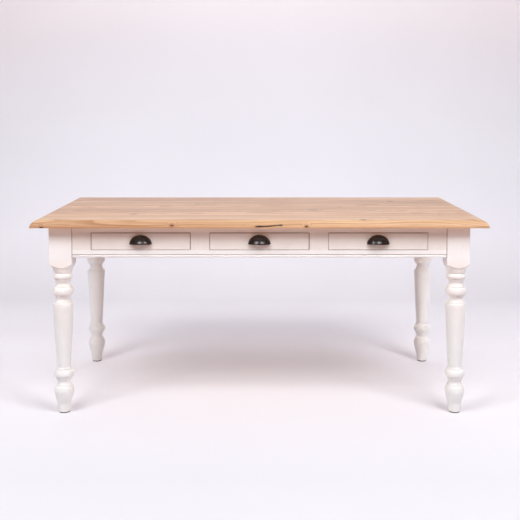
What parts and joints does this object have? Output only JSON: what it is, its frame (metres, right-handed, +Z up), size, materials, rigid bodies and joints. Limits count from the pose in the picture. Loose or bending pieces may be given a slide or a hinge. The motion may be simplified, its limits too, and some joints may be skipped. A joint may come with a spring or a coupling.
{
  "type": "kitchen table with drawers",
  "caption": "Farmhouse kitchen table: plank wood top with rounded edges, turned legs painted off-white, and a row of apron drawers with dark cup pulls that slide out of one long side.",
  "frame": {"origin": "on the floor, under the middle of the tabletop", "axes": "+X along the tabletop's length, -Y towards the drawer side, +Z up"},
  "size_m": [1.8, 0.9, 0.79],
  "materials": {
    "top_wood": "oiled knotty oak boards, satin",
    "cream_paint": "wood under warm off-white satin paint",
    "bare_softwood": "planed pine, unfinished",
    "drawer_ply": "birch plywood, unfinished",
    "bronze_iron": "cast iron with dark oil-rubbed bronze finish, satin gloss",
    "zinc_steel": "zinc-plated steel",
    "glide_felt": "moulded glide faced with grey-brown felt, matt"
  },
  "bodies": {
    "table": {"top_board_1": "top_wood", "top_board_2": "top_wood", "top_board_3": "top_wood", "top_board_4": "top_wood", "top_board_5": "top_wood", "top_board_6": "top_wood", "top_board_7": "top_wood", "top_screws": "zinc_steel", "leg_front_left": "cream_paint", "leg_front_right": "cream_paint", "leg_back_right": "cream_paint", "leg_back_left": "cream_paint", "foot_glides": "glide_felt", "front_bottom_rail": "cream_paint", "front_top_rail": "cream_paint", "apron_left": "cream_paint", "apron_right": "cream_paint", "apron_back": "cream_paint", "front_stile_outer_left": "cream_paint", "front_stile_inner_left": "cream_paint", "front_stile_inner_right": "cream_paint", "front_stile_outer_right": "cream_paint", "drawer_runner_outer_left": "bare_softwood", "drawer_runner_inner_left": "bare_softwood", "drawer_runner_inner_right": "bare_softwood", "drawer_runner_outer_right": "bare_softwood", "drawer_kicker_outer_left": "bare_softwood", "drawer_kicker_inner_left": "bare_softwood", "drawer_kicker_inner_right": "bare_softwood", "drawer_kicker_outer_right": "bare_softwood", "drawer_stops": "bare_softwood", "corner_brace_front_left": "bare_softwood", "corner_brace_front_right": "bare_softwood", "corner_brace_back_right": "bare_softwood", "corner_brace_back_left": "bare_softwood", "hanger_bolts": "zinc_steel", "hanger_washers": "zinc_steel", "hanger_nuts": "zinc_steel"},
    "drawer_left": {"drawer_front_left": "cream_paint", "drawer_side_left_left": "bare_softwood", "drawer_side_left_right": "bare_softwood", "drawer_back_left": "bare_softwood", "drawer_bottom_left": "drawer_ply", "cup_pull_left": "bronze_iron", "pull_screws_left": "zinc_steel"},
    "drawer_middle": {"drawer_front_middle": "cream_paint", "drawer_side_middle_left": "bare_softwood", "drawer_side_middle_right": "bare_softwood", "drawer_back_middle": "bare_softwood", "drawer_bottom_middle": "drawer_ply", "cup_pull_middle": "bronze_iron", "pull_screws_middle": "zinc_steel"},
    "drawer_right": {"drawer_front_right": "cream_paint", "drawer_side_right_left": "bare_softwood", "drawer_side_right_right": "bare_softwood", "drawer_back_right": "bare_softwood", "drawer_bottom_right": "drawer_ply", "cup_pull_right": "bronze_iron", "pull_screws_right": "zinc_steel"}
  },
  "joints": [
    {"name": "drawer_left_slide", "type": "slide", "parent": "table", "child": "drawer_left", "axis": [0, -1, 0], "range_m": [0, 0.3]},
    {"name": "drawer_middle_slide", "type": "slide", "parent": "table", "child": "drawer_middle", "axis": [0, -1, 0], "range_m": [0, 0.3]},
    {"name": "drawer_right_slide", "type": "slide", "parent": "table", "child": "drawer_right", "axis": [0, -1, 0], "range_m": [0, 0.3]}
  ]
}
